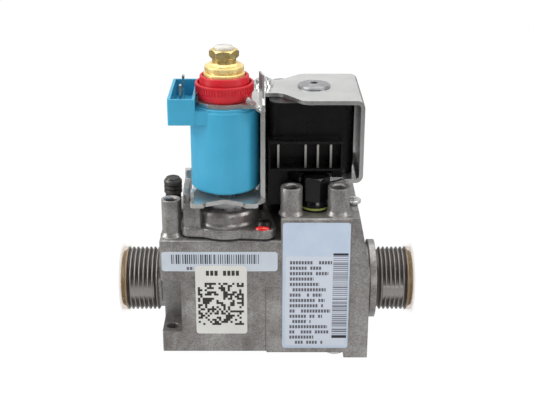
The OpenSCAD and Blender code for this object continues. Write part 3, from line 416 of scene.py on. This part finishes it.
def casting_finish(name="die_cast_aluminium", polish=0.0, edge=0.6 * MM):
    """Grey die-cast aluminium: mottled skin with fine grain, and painted shade that darkens the
    threads in their grooves.
    """
    f = Finish(name, Metallic=0.72)
    clouds = f.noise(70, detail=6, rough=0.62)
    skin = f.ramp(clouds, list(zip((0.32, 0.5, 0.7), SKIN_TONES)))
    streaks = f.noise(420, rough=0.6, stretch=(1, 1, 0.16))
    skin = f.mix(f.ramp(streaks, [(0.5, 0.0), (0.72, 0.4)]), skin, STREAK)
    stains = f.noise(260, detail=5, rough=0.7)
    skin = f.mix(f.ramp(stains, [(0.50, 0.0), (0.70, 0.6)]), skin, STAIN)
    skin = f.mix(0.5, skin, f.drift(1500, 0.25, 0.75, detail=3), "OVERLAY")
    seam = f.math("MULTIPLY", f.between(f.axis("X"), *SEAM_X), f.between(f.axis("Z"), *SEAM_Z))
    skin = f.mix(f.math("MULTIPLY", seam, 0.5), skin, SEAM)
    on_port = f.math("GREATER_THAN", f.math("ABSOLUTE", f.axis("X")), PORT_START)
    # painted shade: the ports' threads darken towards the bottom of their grooves
    thread = f.port_ramp(list(zip((0.60, 0.64, 0.665), THREAD_SHADE_TONES)))
    f.colour(f.mix(on_port, skin, thread))
    f.roughness(f.ramp(clouds, [(NOISE_LOW, 0.46 - polish), (NOISE_HIGH, 0.36 - polish)]))
    f.soft_edges(edge)
    f.bump(f.noise(1500, rough=0.6), 0.22, 0.12 * MM)
    return f.material


def cover_finish():
    """The regulator's cover has a smoother, shinier skin."""
    return casting_finish("die_cast_cover", polish=0.10, edge=0.9 * MM)


def zinc_finish():
    """Zinc-plated sheet: bright and faintly cloudy."""
    f = Finish("zinc_plated_sheet", Metallic=0.82)
    f.colour(f.drift(45, (0.56, 0.57, 0.56), (0.73, 0.73, 0.715), detail=5))
    f.roughness(f.drift(300, 0.16, 0.25, detail=3))
    f.soft_edges(0.12 * MM)
    f.bump(f.noise(160, detail=2), 0.05, 0.03 * MM)
    return f.material


def steel_finish():
    f = Finish("machined_steel", Metallic=1.0)
    f.colour(f.drift(200, (0.42, 0.42, 0.43), (0.58, 0.58, 0.59)))
    f.roughness(f.drift(900, 0.24, 0.36))
    f.bump(f.noise(1400, stretch=(1, 1, 6)), 0.1, 0.04 * MM)
    return f.material


def screw_steel_finish():
    """Turned steel screw head with fine lathe rings."""
    f = Finish("turned_screw_steel", Metallic=1.0)
    centre = centre_of("ev1_top_screw")
    f.colour(f.drift(500, (0.28, 0.28, 0.29), (0.42, 0.42, 0.43)))
    f.roughness(f.drift(700, 0.26, 0.38))
    f.bump(f.rings(f.radius(("X", centre.x), ("Y", centre.y)), 14000), 0.25, 0.03 * MM)
    return f.material


def blade_painted_reflection_finish():
    """Terminal blades with a painted reflection, bright at the tip, and painted shade that darkens
    them towards the plastic.
    """
    f = Finish("tinned_blade_painted_reflection", Metallic=1.0, Roughness=0.28)
    low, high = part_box("solenoid_terminals")
    height = f.pitches("Z", low[2], high[2] - low[2])
    # painted reflection and shade: the colour runs from dark at the foot of the blades to bright near
    # their tips
    f.colour(f.ramp(height, [(0.0, (0.16, 0.155, 0.15)), (0.9, (0.86, 0.85, 0.80))]))
    f.bump(f.noise(900), 0.05, 0.02 * MM)
    return f.material


def tinned_finish():
    f = Finish("tinned_contact", Metallic=1.0)
    f.colour(f.drift(600, (0.62, 0.61, 0.58), (0.80, 0.79, 0.75)))
    f.roughness(f.drift(900, 0.18, 0.30))
    f.bump(f.noise(2000, stretch=(1, 1, 0.2)), 0.12, 0.03 * MM)
    return f.material


def brass_finish(name="turned_brass", metallic=0.5, dim=1.0):
    """Turned brass: bright, slightly stained, with lathe rings."""
    f = Finish(name, Metallic=metallic)
    tones = [tuple(dim * c for c in tone) for tone in BRASS_TONES]
    f.colour(f.ramp(f.noise(260, detail=5), list(zip((0.3, 0.52, 0.75), tones))))
    f.roughness(f.drift(800, 0.24, 0.36))
    f.soft_edges(0.15 * MM)
    f.bump(f.rings(f.axis("Z"), 9000), 0.06, 0.02 * MM)
    return f.material


def nut_finish():
    """The adjusting nut is darker than the body under it."""
    return brass_finish("dull_brass", metallic=0.85, dim=0.82)


def black_steel_finish():
    f = Finish("blackened_steel", Metallic=0.5)
    f.colour(f.drift(500, (0.018, 0.017, 0.016), (0.04, 0.038, 0.036)))
    f.roughness(f.drift(900, 0.26, 0.40))
    f.bump(f.noise(1800), 0.1, 0.04 * MM)
    return f.material


def dark_metal_finish():
    """Phosphated test nipple: dark grey with rubbed edges."""
    f = Finish("phosphated_metal", Metallic=0.6)
    body = f.drift(400, (0.018, 0.018, 0.017), (0.055, 0.053, 0.049), detail=5)
    f.colour(f.mix(f.worn_edges(0.52, 0.6), body, (0.16, 0.15, 0.14)))
    f.roughness(f.drift(700, 0.36, 0.5))
    f.bump(f.noise(1500), 0.15, 0.06 * MM)
    return f.material


def copper_finish():
    """Enamelled wire, wound turn by turn."""
    f = Finish("enamelled_copper", Metallic=0.9)
    f.colour(f.drift(300, (0.45, 0.13, 0.05), (0.62, 0.22, 0.09)))
    f.roughness(f.drift(500, 0.25, 0.35))
    f.bump(f.rings(f.axis("Z"), 21000), 0.5, 0.1 * MM)
    return f.material


# ---------------------------------------------------------------- plastic, rubber and film

def plastic_finish(name, dark, light, roughness, grain=0.06, detail=3, **sockets):
    """Moulded plastic with faint tone changes and a fine spark-eroded grain."""
    f = Finish(name, **{"Specular_IOR_Level": 0.4, **sockets})
    f.tone = f.drift(90, dark, light, detail)
    f.colour(f.tone)
    f.roughness(f.drift(400, roughness - 0.05, roughness + 0.06))
    f.soft_edges(0.3 * MM)
    f.bump(f.noise(3500, detail=2), grain, 0.04 * MM)
    return f


def blue_finish():
    return plastic_finish("blue_plastic", (0.040, 0.325, 0.51), (0.052, 0.36, 0.56), 0.36,
                          Subsurface_Weight=0.12,
                          Subsurface_Radius=(0.4 * MM, 1.2 * MM, 2 * MM)).material


def red_finish():
    return plastic_finish("red_plastic", (0.53, 0.010, 0.019), (0.62, 0.014, 0.026), 0.36).material


def black_finish():
    return plastic_finish("black_plastic", (0.0035, 0.0033, 0.0035), (0.006, 0.0055, 0.006),
                          0.3, grain=0.1, Specular_IOR_Level=0.28).material


def gloss_black_finish():
    """The service cap shines more than the moulded block behind it."""
    return plastic_finish("gloss_black_plastic", (0.004, 0.004, 0.0045), (0.007, 0.007, 0.0075),
                          0.17, grain=0.02, Specular_IOR_Level=0.42).material


def nylon_finish():
    return plastic_finish("white_nylon", (0.57, 0.545, 0.50), (0.66, 0.635, 0.59), 0.40,
                          Subsurface_Weight=0.4,
                          Subsurface_Radius=(1 * MM, 0.9 * MM, 0.7 * MM)).material


def rubber_finish():
    return plastic_finish("black_rubber", (0.012, 0.012, 0.012), (0.022, 0.021, 0.02),
                          0.62, grain=0.25).material


def green_seal_finish():
    """Gasket with a bright bead above its darker body."""
    f = plastic_finish("yellow_green_seal", (0.42, 0.47, 0.10), (0.52, 0.57, 0.15), 0.5, detail=4)
    low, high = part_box("service_cap_gasket")
    bead = f.between(f.axis("Z"), low[2] + 0.55 * (high[2] - low[2]), high[2])
    f.colour(f.mix(bead, (0.012, 0.013, 0.010), f.tone))
    return f.material


def lacquer_finish():
    f = Finish("red_lacquer", Coat_Weight=0.8, Roughness=0.25)
    f.colour(f.drift(700, (0.60, 0.01, 0.008), (0.85, 0.03, 0.02)))
    f.bump(f.noise(900), 0.3, 0.1 * MM)
    return f.material


def film_finish():
    """Thin amber plastic of the dust seals, nearly clear at the rim."""
    f = Finish("amber_film", Roughness=0.22)
    f.colour(f.drift(120, (0.40, 0.20, 0.03), (0.56, 0.33, 0.08), detail=3))
    f.alpha(f.port_ramp([(0.675, 0.22), (0.70, 0.07)]))
    f.bump(f.noise(180, detail=3), 0.2, 0.3 * MM)
    return f.material


# ---------------------------------------------------------------- generic print on the labels

# a bar takes from the least to the least plus the spread of its pitch
BAR_LEAST = 0.22
BAR_SPREAD = 0.55
# a block of print takes this share of its pitch, and this share of them is printed
BLOCK_WIDTH = 0.74
BLOCKS_PRINTED = 0.86


def printed_bars(f, area, axis, pitch):
    """Bars of random width across a rectangle, one to each pitch along the axis."""
    start = area[0] if axis == "X" else area[1]
    width = f.math("MULTIPLY", f.random_line(f.cell(axis, start, pitch)), BAR_SPREAD)
    bar = f.math("LESS_THAN", f.in_cell(axis, start, pitch), f.math("ADD", width, BAR_LEAST))
    return f.math("MULTIPLY", bar, f.inside(area))


def printed_cells(f, area, pitch_x, pitch_z, share):
    """Random filled cells over a rectangle."""
    x0, z0 = area[:2]
    picked = f.chance(f.cell("X", x0, pitch_x), f.cell("Z", z0, pitch_z), share)
    return f.math("MULTIPLY", picked, f.inside(area))


def printed_rows(f, area, pitch, fill, glyph, spread=0.5):
    """Rows of small blocks of random length, in place of lines of print."""
    x0, z0, x1, _ = area
    row = f.cell("Z", z0, pitch)
    block = f.math("MULTIPLY", f.math("LESS_THAN", f.in_cell("Z", z0, pitch), fill),
                   f.math("LESS_THAN", f.in_cell("X", x0, glyph), BLOCK_WIDTH))
    picked = f.chance(f.cell("X", x0, glyph), row, BLOCKS_PRINTED)
    longer = f.math("MULTIPLY", f.random_line(row), spread * (x1 - x0))
    end = f.math("ADD", longer, x0 + (1 - spread) * (x1 - x0))
    before_end = f.math("LESS_THAN", f.axis("X"), end)
    lines = f.math("MULTIPLY", block, f.math("MULTIPLY", picked, before_end))
    return f.math("MULTIPLY", lines, f.inside(area))


def label_finish(name, paper, prints):
    """Printed paper label; prints are (mask maker, ink colour)."""
    f = Finish(name, Roughness=0.45, Specular_IOR_Level=0.35)
    tone = f.drift(120, *paper)
    for mask, ink in prints:
        tone = f.mix(mask(f), tone, ink)
    f.colour(tone)
    f.bump(f.noise(600, detail=3), 0.1, 0.04 * MM)
    return f.material


def area_on(node, left, bottom, right, top):
    """Rectangle on a label, by its distances in millimetres from the label's lower left corner."""
    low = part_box(node)[0]
    return (low[0] + left * MM, low[2] + bottom * MM, low[0] + right * MM, low[2] + top * MM)


def strip_label_finish():
    bars = area_on("strip_label", 3.9, 3.2, 38.9, 7.3)
    digits = area_on("strip_label", 7.3, 0.6, 14.0, 1.9)
    paper = ((0.48, 0.525, 0.59), (0.54, 0.59, 0.645))
    return label_finish("printed_strip", paper, [
        (lambda f: printed_bars(f, bars, "X", 0.88 * MM), (0.05, 0.055, 0.075)),
        (lambda f: printed_rows(f, digits, 4 * MM, 0.35, 1.3 * MM), (0.12, 0.12, 0.14))])


def code_label_finish():
    row = area_on("code_label", 0.9, 26.0, 19.4, 28.2)
    matrix = area_on("code_label", 0.9, 3.9, 19.3, 22.9)
    paper = ((0.61, 0.605, 0.575), (0.67, 0.665, 0.63))
    return label_finish("printed_code", paper, [
        (lambda f: printed_rows(f, row, 4 * MM, 0.55, 1.7 * MM, 0.02), (0.035, 0.03, 0.028)),
        (lambda f: printed_cells(f, matrix, 0.92 * MM, 0.95 * MM, 0.46), (0.03, 0.027, 0.025))])


def rating_label_finish():
    rows = area_on("rating_label", 2.9, 1.9, 19.9, 40.0)
    ladder = area_on("rating_label", 20.0, 5.6, 26.0, 41.4)
    foot_bar = area_on("rating_label", 20.0, 4.6, 26.0, 5.6)
    head_bar = area_on("rating_label", 20.0, 41.4, 26.0, 42.4)
    sheet = area_on("rating_label", 1.2, 1.2, 25.4, 41.0)
    paper = ((0.44, 0.52, 0.64), (0.50, 0.58, 0.69))
    return label_finish("printed_rating", paper, [
        (lambda f: f.inside(sheet), (0.56, 0.60, 0.67)),
        (lambda f: printed_rows(f, rows, 2.38 * MM, 0.6, 1.15 * MM), (0.10, 0.10, 0.12)),
        (lambda f: printed_bars(f, ladder, "Z", 0.86 * MM), (0.12, 0.125, 0.155)),
        (lambda f: f.inside(foot_bar), (0.02, 0.02, 0.025)),
        (lambda f: f.inside(head_bar), (0.02, 0.02, 0.025))])


# ---------------------------------------------------------------- the nodes get their finishes

SLOT_FINISHES = {
    "casting": casting_finish, "amber_film": film_finish, "steel": steel_finish,
    "zinc_sheet": zinc_finish, "seal_rubber": rubber_finish,
    "black_steel": black_steel_finish, "brass": brass_finish,
    "red_lacquer": lacquer_finish, "blue_plastic": blue_finish, "copper": copper_finish,
    "tinned": tinned_finish, "red_plastic": red_finish, "white_nylon": nylon_finish,
    "black_plastic": black_finish, "green_seal": green_seal_finish,
    "dark_metal": dark_metal_finish,
}
# nodes that look different from the rest of their slot
NODE_FINISHES = {
    "ev1_top_screw": screw_steel_finish, "regulator_cover": cover_finish,
    "max_pressure_nut": nut_finish, "service_cap": gloss_black_finish,
    "solenoid_terminals": blade_painted_reflection_finish, "strip_label": strip_label_finish,
    "code_label": code_label_finish, "rating_label": rating_label_finish,
}


def dress_nodes():
    """Every CAD node gets its own finish, or else the one of its material slot."""
    finishes = {slot: maker() for slot, maker in SLOT_FINISHES.items()}
    for part in frame["record"]["subparts"]:
        name = part["node"]
        own = NODE_FINISHES.get(name)
        finish = own() if own else finishes[part["material_slot"]]
        for slot in frame["nodes"][name].material_slots:
            slot.material = finish
    return finishes


# ---------------------------------------------------------------- flats on the threads

THREAD_CREST = 13.2 * MM
THREAD_ROOT = 12.06 * MM
LEFT_LAND = (-56.6 * MM, -46.5 * MM)
RIGHT_LAND = (47.6 * MM, 56.6 * MM)
# half the angle at full height, and half the angle at which the flat has sunk below the grooves
LAND_HALF = math.radians(8)
LAND_REACH = math.radians(26)
LAND_STEPS = 12
LAND_SUNK = 0.1 * MM
LAND_BACK = 0.6 * MM


def land_section():
    """Angle and radius of the strip across the thread at the mould's parting line."""
    fall = THREAD_ROOT - LAND_SUNK - THREAD_CREST
    points = []
    for i in range(-LAND_STEPS, LAND_STEPS + 1):
        angle = LAND_REACH * i / LAND_STEPS
        slope = max(0, (abs(angle) - LAND_HALF) / (LAND_REACH - LAND_HALF))
        points.append((angle, THREAD_CREST + fall * slope))
    return points + [(angle, THREAD_ROOT - LAND_BACK) for angle in (LAND_REACH, 0, -LAND_REACH)]


def add_thread_lands(name, ends, finish):
    """Smooth strips at the front and back of a cast thread, where the mould parts."""
    form = bmesh.new()
    for front in (-1, 1):
        rings = []
        for x in ends:
            rings.append([form.verts.new((x, PORT_Y + front * r * math.cos(a),
                                          PORT_Z + r * math.sin(a))) for a, r in land_section()])
        count = len(rings[0])
        for i in range(count):
            j = (i + 1) % count
            form.faces.new((rings[0][i], rings[0][j], rings[1][j], rings[1][i]))
        form.faces.new(rings[0])
        form.faces.new(rings[1])
    bmesh.ops.recalc_face_normals(form, faces=form.faces)
    mesh = bpy.data.meshes.new(name)
    form.to_mesh(mesh)
    form.free()
    land = bpy.data.objects.new(name, mesh)
    scene.collection.objects.link(land)
    mesh.materials.append(finish)
    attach(land, "housing")


# ---------------------------------------------------------------- copies of the springs and diaphragm

# which corner of a box the fixed end of a piece has
BOTTOM, TOP = 0, 1
YIELDING = (
    ("main_spring", "main_valve_lift", TOP),
    ("ev1_spring", "ev1_lift", TOP),
    ("ev2_spring", "ev2_lift", TOP),
    ("regulator_diaphragm", "modulator_stroke", BOTTOM),
)


def add_yielding(node, joint, fixed_end):
    """Copy of a spring or diaphragm in place of the hidden CAD part, attached to the housing."""
    solid = frame["nodes"][node]
    piece = bpy.data.objects.new(node + "_yielding", solid.data.copy())
    scene.collection.objects.link(piece)
    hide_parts(node)
    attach(piece, "housing")
    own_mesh(piece)


# ---------------------------------------------------------------- the scene

scene.view_settings.view_transform = "Standard"
add_camera()
for softbox in SOFTBOXES:
    add_softbox(*softbox)
add_world()
add_floor()
finishes = dress_nodes()
for piece in YIELDING:
    add_yielding(*piece)
add_thread_lands("left_thread_land", LEFT_LAND, finishes["casting"])
add_thread_lands("right_thread_land", RIGHT_LAND, finishes["casting"])
